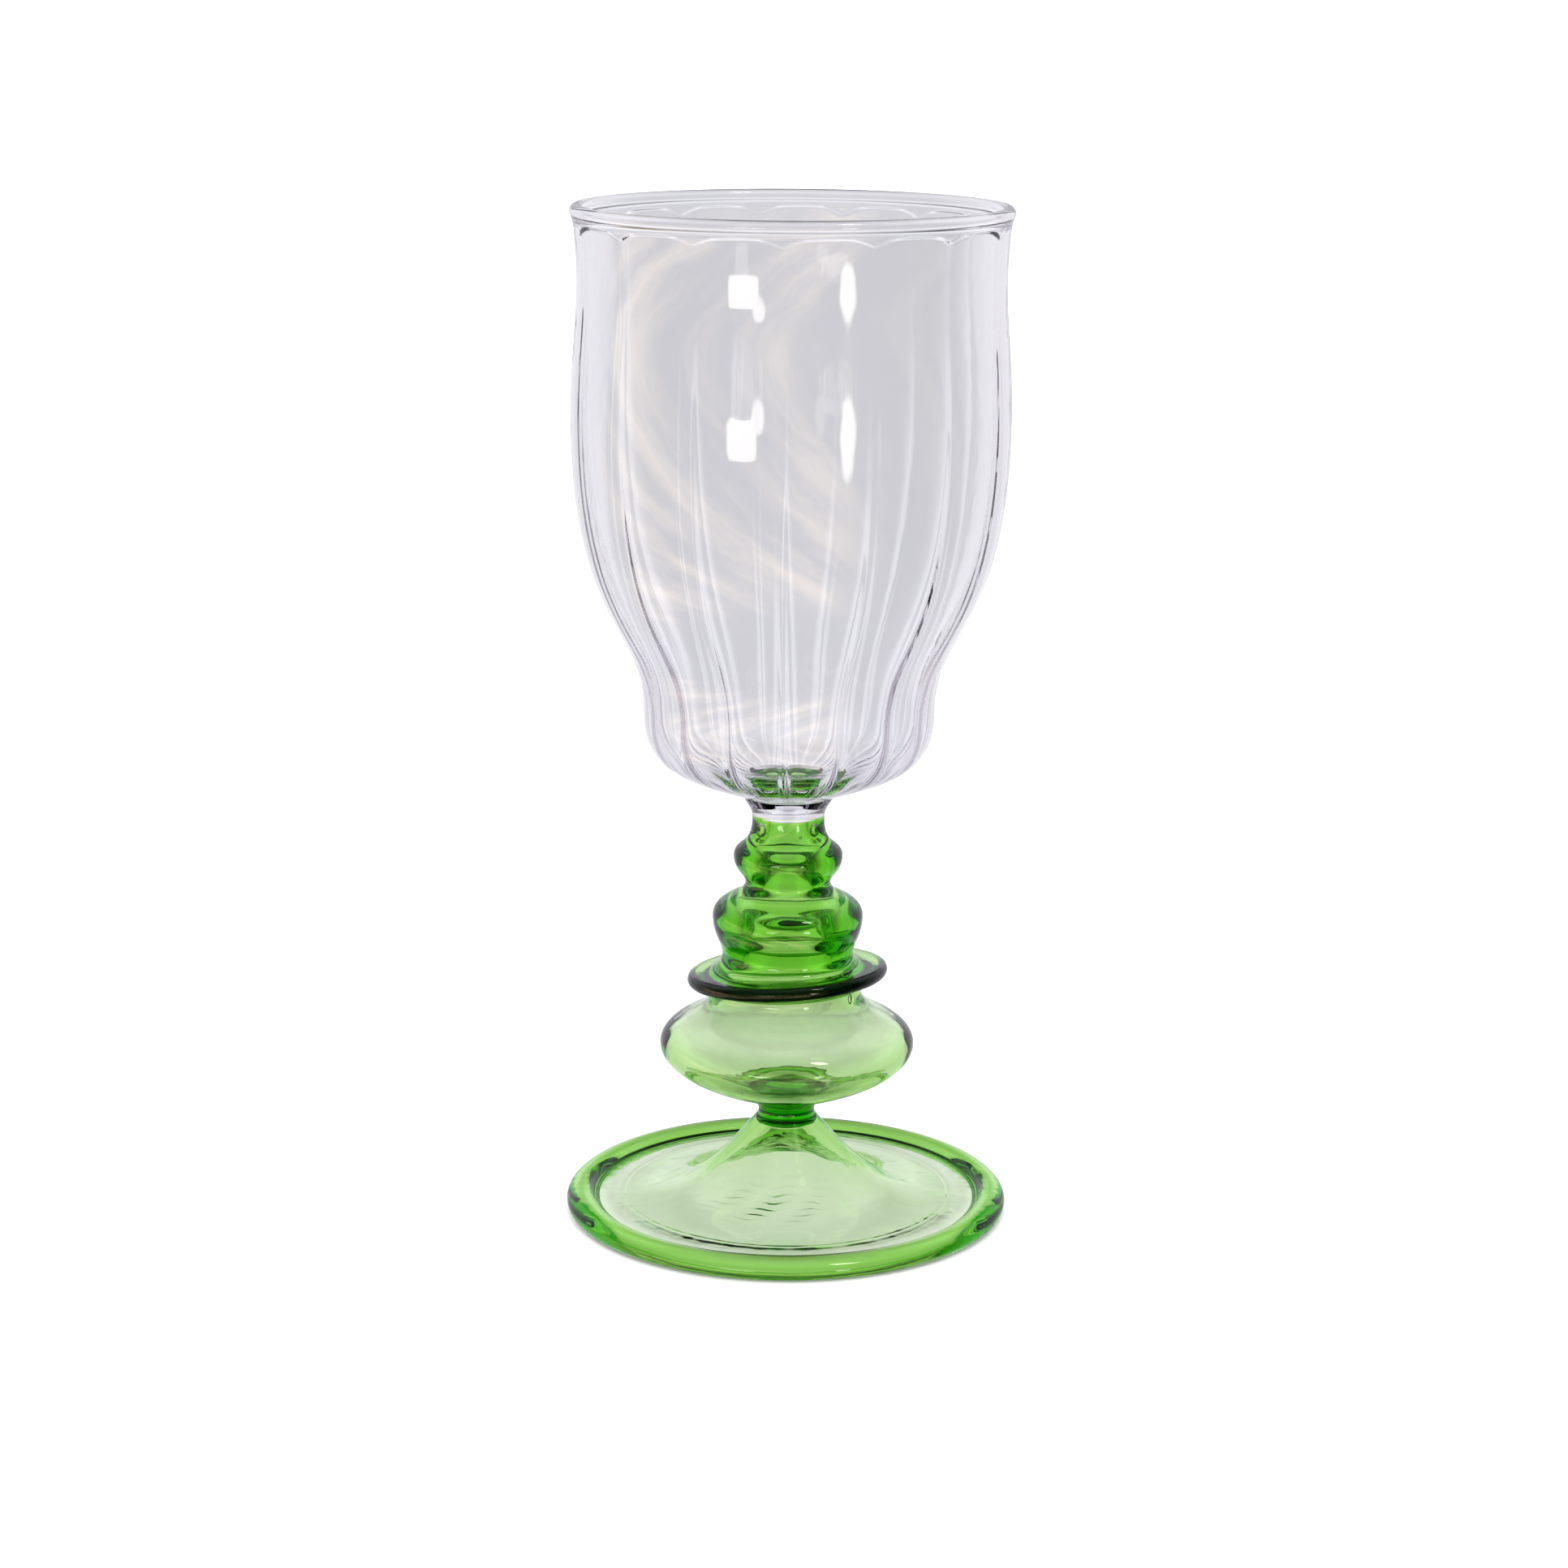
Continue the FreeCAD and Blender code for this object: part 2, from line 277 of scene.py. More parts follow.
def mesh_piece(name, vertices, faces, seal):
    """A smooth object from points in millimetres, with the share of sealing of each face."""
    mesh = bpy.data.meshes.new(name)
    mesh.from_pydata((vertices * MM).tolist(), [], faces)
    mesh.polygons.foreach_set("use_smooth", [True] * len(faces))
    mark = mesh.attributes.new("seal", "FLOAT", "FACE")
    mark.data.foreach_set("value", np.array(seal, float))
    mesh.update()
    piece = bpy.data.objects.new(name, mesh)
    bpy.context.scene.collection.objects.link(piece)
    return piece


def join_runs(runs):
    """One outline from its runs, whether each of its bands is sealed, and its creased rings."""
    rings, sealed, creases = [], [], []
    for points, is_sealed, crease in runs:
        fresh = points if not rings else points[1:]
        sealed += [is_sealed] * (len(fresh) if rings else len(fresh) - 1)
        rings += [tuple(point) for point in fresh]
        if crease:
            creases.append(len(rings) - 1)
    return np.array(rings), sealed, creases


def turned(name, outlines, segments, shape=None):
    """A closed mesh turned from outlines, which are lists of runs: (points, sealed, crease).

    shape moves the vertices of each outline."""
    angle = 2 * math.pi * np.arange(segments) / segments
    around = np.arange(segments)
    beyond = (around + 1) % segments
    vertices, faces, seal, sharp_rings = [], [], [], []
    for number, runs in enumerate(outlines):
        ring, sealed, creases = join_runs(runs)
        radius = np.repeat(ring[:, 0][:, None], segments, 1)
        height = np.repeat(ring[:, 1][:, None], segments, 1)
        x, y = radius * np.cos(angle), radius * np.sin(angle)
        if shape:
            x, y, height = shape(radius, height, angle, number)
        body = np.stack([x, y, height], 2)
        start = sum(len(part) for part in vertices)
        count = len(ring) - 2
        ends = np.array([body[0, 0], body[-1, 0]])
        vertices.append(np.concatenate([body[1:-1].reshape(-1, 3), ends]))
        for index in range(count - 1):
            low, high = start + index * segments, start + (index + 1) * segments
            faces += np.column_stack([low + around, low + beyond, high + beyond, high + around]).tolist()
            seal += [sealed[1 + index]] * segments
        first_end = np.full(segments, start + count * segments)
        last_end = first_end + 1
        last_ring = start + (count - 1) * segments
        faces += np.column_stack([first_end, start + beyond, start + around]).tolist()
        faces += np.column_stack([last_ring + around, last_ring + beyond, last_end]).tolist()
        seal += [sealed[0]] * segments + [sealed[-1]] * segments
        sharp_rings += [start + (crease - 1) * segments for crease in creases]
    piece = mesh_piece(name, np.concatenate(vertices), faces, seal)
    mesh = piece.data
    pairs = np.zeros(len(mesh.edges) * 2, int)
    mesh.edges.foreach_get("vertices", pairs)
    low, high = pairs.reshape(-1, 2).min(1), pairs.reshape(-1, 2).max(1)
    sharp = np.zeros(len(low), bool)
    for ring_start in sharp_rings:
        sharp |= (low >= ring_start) & (high < ring_start + segments)
    edge = mesh.attributes.new("sharp_edge", "BOOLEAN", "EDGE")
    edge.data.foreach_set("value", sharp)
    return piece


def swirl_height(radius, height, angle):
    """Slow, hand-made unevenness of the foot's plate."""
    draw = np.random.default_rng(SWIRL_SEED)
    total = np.zeros_like(radius)
    for turns in SWIRL_WAVES:
        phase, lean = draw.uniform(0, 2 * math.pi), draw.uniform(-SWIRL_LEAN, SWIRL_LEAN)
        total += np.cos(turns * angle + phase + lean * height) / turns
    inner_fade = np.clip((radius - SWIRL_START) / SWIRL_GROWTH, 0, 1)
    outer_fade = np.clip((PLATE_RIM[0] - radius) / SWIRL_END, 0, 1)
    return PLATE_SWIRL * total * inner_fade * outer_fade


def ripple_height(radius, angle):
    """Patches of fine ripples under the plate, in front and behind."""
    front_back = np.abs(np.sin(angle + RIPPLE_TURN)) ** RIPPLE_NARROWING
    ring = np.exp(-(((radius - RIPPLE_RADIUS) / RIPPLE_WIDTH) ** 2))
    lean = sum(size * np.sin(waves * angle + phase) for size, waves, phase in RIPPLE_LEAN)
    patch_waves, patch_lean = RIPPLE_PATCHES
    patches = 0.5 + 0.5 * np.sin(patch_waves * angle + patch_lean * radius)
    return RIPPLE_HEIGHT * ring * front_back * patches * np.sin(RIPPLE_RADIANS_PER_MM * radius + lean)


def ridge_height(radius, height, angle):
    """How far the bowl's inner wall stands in from the bottom of the flutes."""
    pitch = 2 * math.pi / FLUTE_COUNT
    from_ridge = (angle - math.radians(RIDGE_TURN_DEG - 90)) / pitch
    across = np.abs(2 * (from_ridge - np.floor(from_ridge)) - 1)
    below_arch = ARCH_TOP - ARCH_DROP * across**ARCH_SQUARENESS - height
    open_share = eased(below_arch / LEDGE_HEIGHT)
    share = np.clip((WAIST[1] - height) / (WAIST[1] - HIP[1]), 0, 1)
    grown = share**FLUTE_SQUARENESS_GROWTH
    squareness = FLUTE_SQUARENESS_TOP + grown * (FLUTE_SQUARENESS_BASE - FLUTE_SQUARENESS_TOP)
    ridge = 1 - np.clip(1 - across**squareness, 0, 1) ** FLUTE_FULLNESS
    depth = FLUTE_DEPTH_TOP + share**FLUTE_GROWTH * (FLUTE_DEPTH_BASE - FLUTE_DEPTH_TOP)
    depth = np.minimum(depth, FLUTE_DEPTH_PER_RADIUS * radius)
    ledge = LEDGE_DEPTH * np.exp(-np.clip(below_arch, 0, None) / LEDGE_FADE)
    below_bead = np.clip(BEAD_CENTRE[1] - BEAD_RADIUS - height + BEAD_OVERLAP, 0, 1)
    return below_bead * (ledge * (1 - open_share) + depth * ridge * open_share)


def underside():
    """The middle of the bowl's underside, which the collar is sealed to."""
    centre_pole = (BASE_EDGE[0] / 2, BASE_CENTRE[1])
    return curve(BASE_CENTRE, centre_pole, step(BASE_EDGE, -BASE_EDGE_REACH, BASE_SLOPE_DEG), BASE_EDGE)


def bowl_outside(bead_start):
    """The bowl's outer wall, from the base's edge up to the bead."""
    base_pull = BASE_PULL_OUT * (HIP[0] - BASE_EDGE[0])
    hip_pole = (HIP[0], HIP[1] - HIP_PULL_DOWN * (HIP[1] - BASE_EDGE[1]))
    rise, flare = LIP[1] - WAIST[1], 90 - LIP_FLARE_DEG
    waist_pole = (WAIST[0], WAIST[1] + WAIST_PULL * rise)
    lip_pole = step(LIP, -LIP_PULL * rise, flare)
    bead_pole = step(bead_start, -BEAD_REACH, 90 - BEAD_BLEND_DEG)
    return [
        curve(BASE_EDGE, step(BASE_EDGE, base_pull, BASE_SLOPE_DEG), hip_pole, HIP),
        swell(HIP, BELLY, HIP_PULL, BELLY_PULL_DOWN)[1:],
        swell(BELLY, WAIST, BELLY_PULL_UP, WAIST_PULL_DOWN)[1:],
        curve(WAIST, waist_pole, lip_pole, LIP)[1:],
        curve(LIP, step(LIP, BEAD_REACH, flare), bead_pole, bead_start)[1:],
    ]


def bowl_inside(bead_end):
    """The bowl's inner wall, from the bead down to the middle of the floor."""
    lip, waist = inside(LIP, LIP_WALL), inside(WAIST, WAIST_WALL)
    belly, hip = inside(BELLY, BELLY_WALL), inside(HIP, HIP_WALL)
    rise, flare = LIP[1] - WAIST[1], 90 - LIP_FLARE_DEG
    bead_pole = step(bead_end, -BEAD_REACH, 90 + BEAD_BLEND_DEG)
    lip_pole = step(lip, -LIP_PULL * rise, flare)
    waist_pole = (waist[0], waist[1] + WAIST_PULL * rise)
    hip_pole = (hip[0], HIP_POLE_HEIGHT)
    floor_pole = step(FLOOR_EDGE, FLOOR_REACH, BASE_SLOPE_DEG)
    floor_inner_pole = step(FLOOR_EDGE, -FLOOR_EDGE_REACH, BASE_SLOPE_DEG)
    centre_pole = (FLOOR_CENTRE_REACH, FLOOR_CENTRE[1])
    return [
        curve(bead_end, bead_pole, step(lip, BEAD_REACH, flare), lip, spacing=RIM_SPACING),
        curve(lip, lip_pole, waist_pole, waist, spacing=LIP_SPACING)[1:],
        swell(waist, belly, WAIST_PULL_DOWN, BELLY_PULL_UP)[1:],
        swell(belly, hip, BELLY_PULL_DOWN, HIP_PULL)[1:],
        curve(hip, hip_pole, floor_pole, FLOOR_EDGE)[1:],
        curve(FLOOR_EDGE, floor_inner_pole, centre_pole, FLOOR_CENTRE)[1:],
    ]


def bowl_glass():
    bead_width = 2 * BEAD_RADIUS
    bead = arc(BEAD_CENTRE, bead_width, bead_width, -BEAD_BLEND_DEG, 180 + BEAD_BLEND_DEG)
    under = underside()
    outer = np.concatenate([*bowl_outside(bead[0]), bead[1:]])
    inner = np.concatenate(bowl_inside(bead[-1]))
    inner_from = len(under) + len(outer) - 1

    def shape(radius, height, angle, _):
        is_inner = (np.arange(len(radius)) >= inner_from)[:, None]
        radius = radius - np.where(is_inner, ridge_height(radius, height, angle), 0)
        return radius * np.cos(angle), radius * np.sin(angle), height

    runs = [
        (under, 1, True),
        (outer, 0, False),
        (inner, 0, False),
    ]
    return turned("bowl_glass", [runs], BOWL_SEGMENTS, shape)


def collar_glass():
    flare_pole = (BASE_EDGE[0] + COLLAR_FLARE[0], BASE_EDGE[1] + COLLAR_FLARE[1])
    side = curve(SEAL, (SEAL[0], SEAL[1] + COLLAR_RISE), flare_pole, BASE_EDGE)
    top = raised(underside()[::-1], -SEAL_GAP)
    side[-1] = top[0]
    runs = [
        (curve((0, SEAL[1]), BORE_SEAL), 0, True),
        (curve(BORE_SEAL, SEAL), 1, True),
        (side, 0, True),
        (top, 1, False),
    ]
    return turned("bowl_collar_glass", [runs], COLLAR_SEGMENTS)


def flange_lift(radius, angle):
    """How far the flange's tilt raises a point."""
    side_tilt = math.tan(math.radians(FLANGE_TILT_SIDE_DEG))
    back_tilt = math.tan(math.radians(FLANGE_TILT_BACK_DEG))
    return radius * (np.cos(angle) * side_tilt - np.sin(angle) * back_tilt)


def flange_shade_core():
    """Painted shade: near-black glass inside the flange's edge, thick in front and thin at the back, so
    that the edge looks dark from the front.
    """
    angle = 2 * math.pi * np.arange(SHADE_CORE_SEGMENTS)[:, None] / SHADE_CORE_SEGMENTS
    turn = 2 * math.pi * np.arange(SHADE_CORE_SIDES) / SHADE_CORE_SIDES
    front = eased((SHADE_FRONT_BIAS - np.sin(angle)) / (1 + SHADE_FRONT_BIAS))
    share = SHADE_CORE_THINNEST + (1 - SHADE_CORE_THINNEST) * front
    radius = FLANGE_RADIUS - FLANGE_EDGE + SHADE_CORE_RADIUS * share * np.cos(turn)
    height = FLANGE_HEIGHT + SHADE_CORE_RADIUS * share * np.sin(turn) + flange_lift(radius, angle)
    vertices = np.stack([radius * np.cos(angle), radius * np.sin(angle), height], 2).reshape(-1, 3)
    faces = []
    for ring in range(SHADE_CORE_SEGMENTS):
        here, there = ring * SHADE_CORE_SIDES, (ring + 1) % SHADE_CORE_SEGMENTS * SHADE_CORE_SIDES
        for side in range(SHADE_CORE_SIDES):
            beyond = (side + 1) % SHADE_CORE_SIDES
            faces.append((here + side, there + side, there + beyond, here + beyond))
    return mesh_piece("flange_shade_core", vertices, faces, [1.0] * len(faces))


def from_flange(offset):
    """The station at this radius and this height from the flange's middle."""
    return (offset[0], FLANGE_HEIGHT + offset[1])


def stem_outside():
    """The stem's outer wall, from its lower end up to the seal."""
    rim = FLANGE_RADIUS - FLANGE_EDGE
    top, bottom = (rim, FLANGE_HEIGHT + FLANGE_EDGE), (rim, FLANGE_HEIGHT - FLANGE_EDGE)
    below = [from_flange(offset) for offset in FLANGE_BELOW]
    above = [from_flange(offset) for offset in FLANGE_ABOVE]
    return np.concatenate([
        swells([STEM_END, BULB, BULB_NECK], LOWER_PULLS),
        curve(BULB_NECK, *below, bottom)[1:],
        arc((rim, FLANGE_HEIGHT), 2 * FLANGE_EDGE, 2 * FLANGE_EDGE, -90, 90)[1:],
        curve(top, *above, BARREL_NECK)[1:],
        swells([BARREL_NECK, BARREL, KNOP_NECK, KNOP, SEAL], UPPER_PULLS)[1:],
    ])


def stem_bore():
    """The hollow inside the stem, from the seal down to the bulb's floor."""
    stations = [
        BORE_SEAL,
        BORE_KNOP,
        BORE_KNOP_NECK,
        BORE_BARREL,
        BORE_BARREL_NECK,
        BORE_BULB_NECK,
        BORE_BULB,
    ]
    bulb_pole = (BORE_BULB[0], BORE_BULB[1] - BORE_BULB_DROP)
    return np.concatenate([
        swells(stations, BORE_PULLS),
        curve(BORE_BULB, bulb_pole, BORE_FLOOR_EDGE, BORE_FLOOR)[1:],
    ])


def stem_glass():
    def shape(radius, height, angle, number):
        x, y = radius * np.cos(angle), radius * np.sin(angle)
        if number > 0:
            (middle_x, middle_y, middle_z), size, stretch = BUBBLES[number - 1]
            return middle_x + x * size, middle_y + y * size, middle_z + height * size * stretch
        near = np.clip(1 - (np.abs(height - FLANGE_HEIGHT) - FLANGE_EDGE) / FLANGE_TILT_FADE, 0, 1)
        out = np.clip((radius - FLANGE_TILT_START) / FLANGE_TILT_FADE, 0, 1)
        return x, y, height + near * out * flange_lift(radius, angle)

    skin = [
        (curve((0, STEM_END[1]), STEM_END), 1, True),
        (stem_outside(), 0, True),
        (raised(curve(SEAL, BORE_SEAL), -SEAL_GAP), 1, True),
        (stem_bore(), 0, False),
    ]
    ball = [(arc((0, 0), 2, 2, 90, -90), 0, False)]
    return turned("stem_glass", [skin] + [ball] * len(BUBBLES), STEM_SEGMENTS, shape)


def foot_collar_glass():
    low, high = np.array(FOOT_TOP), np.array(STEM_END)
    pole = 2 * np.array(FOOT_COLLAR_WAIST) - (low + high) / 2
    side = curve(low, pole, high)
    runs = [
        (curve((0, FOOT_TOP[1]), FOOT_TOP), 1, True),
        (side, 0, True),
        (raised(curve(STEM_END, (0, STEM_END[1])), -SEAL_GAP), 1, False),
    ]
    return turned("foot_collar_glass", [runs], COLLAR_SEGMENTS)


def foot_glass():
    half_thickness = FOOT_RIM_THICKNESS / 2
    rest_deg = math.degrees(math.asin(-FOOT_RIM_CENTRE[1] / half_thickness))
    plate_below = PLATE_RIM[1] - PLATE_WALL
    top_deg = 180 - math.degrees(math.asin((PLATE_RIM[1] - FOOT_RIM_CENTRE[1]) / half_thickness))
    below_deg = 180 + math.degrees(math.asin((FOOT_RIM_CENTRE[1] - plate_below) / half_thickness))
    over = arc(FOOT_RIM_CENTRE, FOOT_RIM_WIDTH, FOOT_RIM_THICKNESS, rest_deg, top_deg)
    under = arc(FOOT_RIM_CENTRE, FOOT_RIM_WIDTH, FOOT_RIM_THICKNESS, below_deg, 180 - rest_deg)
    dip = ((PLATE_EDGE[0] + PLATE_RIM[0]) / 2, PLATE_EDGE[1] - PLATE_DIP)
    edge_below = (PLATE_EDGE[0], PLATE_EDGE[1] - PLATE_WALL)
    flare_pole = (PLATE_EDGE[0] - FLARE_REACH, PLATE_EDGE[1])
    flare_pole_below = (edge_below[0] - FLARE_REACH, edge_below[1])
    cone_pole = step(FOOT_TOP, CONE_REACH, -CONE_SLOPE_DEG)
    cone_pole_below = step(CAVITY_SHOULDER, CONE_REACH, -CONE_SLOPE_DEG)
    cavity = (CAVITY_SHOULDER, cone_pole_below, flare_pole_below, edge_below)
    inner = np.concatenate([
        curve(CAVITY_TOP, (CAVITY_TOP_FLAT, CAVITY_TOP[1]), CAVITY_SHOULDER),
        curve(*cavity, spacing=CAVITY_SPACING)[1:],
        curve(edge_below, under[0])[1:],
        under[1:],
    ])
    outer = np.concatenate([
        over,
        curve(over[-1], dip, PLATE_EDGE)[1:],
        curve(PLATE_EDGE, flare_pole, cone_pole, FOOT_TOP, spacing=CONE_SPACING)[1:],
    ])
    flat = curve(under[-1], over[0])
    outer_from = len(inner) + len(flat) - 1

    def shape(radius, height, angle, _):
        is_outer = (np.arange(len(radius)) >= outer_from)[:, None]
        groove = np.exp(-(((radius - GROOVE_RADIUS) / GROOVE_WIDTH) ** 2)) * GROOVE_DEPTH
        above = swirl_height(radius, height, angle) - groove
        below = ripple_height(radius, angle) * (radius < PLATE_EDGE[0])
        height = height + np.where(is_outer, above, below)
        return radius * np.cos(angle), radius * np.sin(angle), height

    runs = [
        (inner, 0, False),
        (flat, 0, False),
        (outer, 0, True),
        (raised(curve(FOOT_TOP, (0, FOOT_TOP[1])), -SEAL_GAP), 1, False),
    ]
    return turned("foot_glass", [runs], FOOT_SEGMENTS, shape)


class Graph:
    """Shorthand for building node graphs."""

    def __init__(self, tree):
        self.tree = tree

    def node(self, kind, **settings):
        made = self.tree.nodes.new("ShaderNode" + kind)
        for key, value in settings.items():
            setattr(made, key, value)
        return made

    def put(self, socket, value):
        if isinstance(value, bpy.types.NodeSocket):
            self.tree.links.new(value, socket)
        else:
            socket.default_value = value

    def math(self, operation, *values):
        made = self.node("Math", operation=operation)
        for socket, value in zip(made.inputs, values):
            self.put(socket, value)
        return made.outputs[0]

    def vector(self, operation, *values):
        made = self.node("VectorMath", operation=operation)
        for socket, value in zip(made.inputs, values):
            self.put(socket, value)
        return made.outputs["Value" if operation == "DOT_PRODUCT" else "Vector"]

    def mix(self, factor, first, second, blend="MIX"):
        made = self.node("Mix", data_type="RGBA", blend_type=blend)
        self.put(made.inputs["Factor"], factor)
        self.put(made.inputs["A"], first)
        self.put(made.inputs["B"], second)
        return made.outputs["Result"]

    def fade(self, value, low, high, start=0.0, end=1.0):
        made = self.node("MapRange", interpolation_type="SMOOTHSTEP")
        for socket, number in zip(made.inputs, (value, low, high, start, end)):
            self.put(socket, number)
        return made.outputs[0]

    def band(self, value, rise_start, rise_end, fall_start, fall_end):
        rise = self.fade(value, rise_start, rise_end)
        return self.math("MULTIPLY", rise, self.fade(value, fall_start, fall_end, 1.0, 0.0))

    def noise(self, place, scale, detail, roughness=0.5):
        made = self.node("TexNoise")
        self.put(made.inputs["Vector"], place)
        made.inputs["Scale"].default_value = scale
        made.inputs["Detail"].default_value = detail
        made.inputs["Roughness"].default_value = roughness
        return made.outputs[0]

    def bump(self, height, depth):
        made = self.node("Bump")
        made.inputs["Strength"].default_value = 1
        made.inputs["Distance"].default_value = depth * MM
        self.put(made.inputs["Height"], height)
        return made.outputs[0]


def glass(name, absorption_per_mm, wave_depth):
    """Glass that absorbs red, green and blue light at these rates, with waves of this depth in mm."""
    material = bpy.data.materials.new(name)
    material.use_nodes = True
    graph = Graph(material.node_tree)
    material.node_tree.nodes.clear()
    output = graph.node("OutputMaterial")
    surface = graph.node("BsdfPrincipled")
    surface.inputs["Base Color"].default_value = (1, 1, 1, 1)
    surface.inputs["Transmission Weight"].default_value = 1
    place = graph.node("TexCoord").outputs["Object"]
    haze = graph.noise(place, HAZE_SCALE, HAZE_DETAIL)
    graph.put(surface.inputs["Roughness"], graph.fade(haze, *HAZE_RANGE, *HAZE_ROUGHNESS))
    waves = graph.noise(place, WAVE_SCALE, WAVE_DETAIL)
    graph.put(surface.inputs["Normal"], graph.bump(waves, wave_depth))
    seal = graph.node("Attribute", attribute_name="seal").outputs["Fac"]
    graph.put(surface.inputs["IOR"], graph.math("MULTIPLY_ADD", seal, AIR_IOR - GLASS_IOR, GLASS_IOR))
    absorption = np.array(absorption_per_mm) / MM
    density = absorption.max() * DENSITY_MARGIN
    depth = graph.node("VolumeAbsorption")
    depth.inputs["Density"].default_value = density
    depth.inputs["Color"].default_value = (*(1 - absorption / density), 1)
    graph.put(output.inputs["Surface"], surface.outputs[0])
    graph.put(output.inputs["Volume"], depth.outputs[0])
    return material


CLEAR = glass("clear_glass", (0.006, 0.007, 0.005), 0.05)
GREEN = glass("green_glass", (0.175, 0.04, 0.33), 0.18)
DEEP_GREEN = glass("deep_green_glass", (0.5, 0.10, 0.8), 0.05)
# Near-black glass for the painted shade in the flange's edge.
SHADE_CORE_GLASS = glass("painted_shade_glass", (3.2, 1.6, 3.6), 0.05)

PIECES = [
    (bowl_glass, "bowl", CLEAR),
    (collar_glass, "bowl_collar", CLEAR),
    (stem_glass, "stem", GREEN),
    # Painted shade in the flange's edge, carried with the stem.
    (flange_shade_core, "stem", SHADE_CORE_GLASS),
    (foot_collar_glass, "foot_collar", DEEP_GREEN),
    (foot_glass, "foot", GREEN),
]

for make, node, material in PIECES:
    piece = make()
    piece.data.materials.append(material)
    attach(piece, "root")
    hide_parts(node)

# Stage: a pale floor under a soft studio that turns with the camera. Angles are in degrees, and
# the floor's size and drop in metres.
FLOOR_SIZE = 8.0
FLOOR_DROP = 0.00005
FLOOR_CLOUD_SCALE = 2.0
FLOOR_COLOURS = ((0.96, 0.96, 0.965, 1), (0.99, 0.99, 0.99, 1))
FLOOR_GRAIN_SCALE = 300.0
FLOOR_GRAIN = 0.05
FLOOR_GRAIN_RANGE = (0.3, 0.7)
FLOOR_DETAIL = 2
FLOOR_ROUGHNESS = (0.85, 1.0)
FLOOR_LIGHT = 1.7
BACKDROP_LIGHT = 1.4

# The far side of the studio is bright, in bands: (elevation, level). The camera's side is dark.
BACK_TONES = [
    (-90, 0.02),
    (-66, 0.05),
    (-54, 0.45),
    (-40, 0.62),
    (-30, 0.74),
    (-20, 0.82),
    (-10, 0.72),
    (0, 0.69),
    (8, 0.74),
    (14, 0.96),
    (22, 0.5),
    (31, 0.05),
    (45, 0.02),
    (60, 0.05),
    (72, 0.6),
    (90, 0.9),
]
BACK_COLOUR = (0.99, 0.99, 1.05)
FRONT_TONES = [(-90, 0.05), (-60, 0.05), (-20, 0.06), (20, 0.06), (60, 0.3), (90, 0.95)]
FRONT_COLOUR = (1, 1, 1)
FRONT_EDGE = (80, 135)

# Well to the left or right of the camera's axis, and near level, the studio has one even tone.
# It starts at these sines of the azimuth.
SIDE_COLOUR = (0.68, 0.665, 0.7, 1)
SIDE_START = (0.3, 0.5)
SIDE_ELEVATIONS = (46.0, 62.0)

# Straight behind the glass the backdrop is a little darker than to either side.
BACKDROP_MIDDLE = (3, 9)
BACKDROP_GAIN = 1.2

# Thin warm clouds on the camera's side, at azimuths from the camera. They are leaning streaks of noise.
# Their height, lean and length are the degrees that one unit of the noise covers.
CLOUD_COLOUR = (4.6, 3.5, 2.2, 1)
CLOUD_AZIMUTHS = (-140, -100, 10, 60)
CLOUD_ELEVATIONS = (-55, -40, 3, 20)
CLOUD_HEIGHT = 15
CLOUD_LEAN = 45
CLOUD_LENGTH = 150
CLOUD_DETAIL = 6
CLOUD_ROUGHNESS = 0.62
CLOUD_EDGE = (0.4, 0.68)

# From high above, the glass is seen against the pale floor. The aim is the sine of the camera's pitch.
STEEP_AIM = (0.5, 0.85)
TOP_VIEW_COLOUR = (0.8, 0.79, 0.82, 1)

# Walls behind the first show the clouds and softboxes this much.
INNER_SHARE = 0.15
SOFTBOX_EDGE = 0.35
SOFTBOX_COLOUR = np.array((1, 0.95, 0.88))
SOFTBOXES = [
    # azimuth from the camera, elevation, half width, half height, squareness, strength
    (-25.5, -7, 8.2, 3.4, 6, 8.5),
    (-17, -3.6, 4, 3.2, 2, 7.5),
    (29, -7, 5, 7.5, 2, 9.0),
    (46, 60, 8, 7, 4, 14.0),
]


def floor():
    bpy.ops.mesh.primitive_plane_add(size=FLOOR_SIZE, location=(0, 0, -FLOOR_DROP))
    plane = bpy.context.object
    plane.name = "floor"
    plane.visible_glossy = False
    plane.visible_transmission = False
    material = bpy.data.materials.new("floor")
    material.use_nodes = True
    surface = material.node_tree.nodes["Principled BSDF"]
    graph = Graph(material.node_tree)
    place = graph.node("TexCoord").outputs["Object"]
    clouding = graph.noise(place, FLOOR_CLOUD_SCALE, FLOOR_DETAIL)
    graph.put(surface.inputs["Base Color"], graph.mix(clouding, *FLOOR_COLOURS))
    grain = graph.noise(place, FLOOR_GRAIN_SCALE, FLOOR_DETAIL)
    graph.put(surface.inputs["Roughness"], graph.fade(grain, *FLOOR_GRAIN_RANGE, *FLOOR_ROUGHNESS))
    graph.put(surface.inputs["Normal"], graph.bump(grain, FLOOR_GRAIN))
    surface.inputs["Specular IOR Level"].default_value = 0
    plane.data.materials.append(material)


def camera_axis(graph, axis):
    """One of the camera's axes, as a direction in the world."""
    turn = graph.node("VectorTransform", vector_type="VECTOR", convert_from="CAMERA", convert_to="WORLD")
    turn.inputs[0].default_value = axis
    return turn.outputs[0]


def tones(graph, elevation, stations, colour):
    """The colour, at the level that the stations give for each elevation."""
    ramp = graph.node("ValToRGB")
    elements = ramp.color_ramp.elements
    while len(elements) < len(stations):
        elements.new(0.5)
    for element, (angle, level) in zip(elements, stations):
        element.position = (angle + 90) / 180
        element.color = (*(level * np.array(colour)), 1)
    graph.put(ramp.inputs[0], graph.math("MULTIPLY_ADD", elevation, 1 / 180, 0.5))
    return ramp.outputs[0]


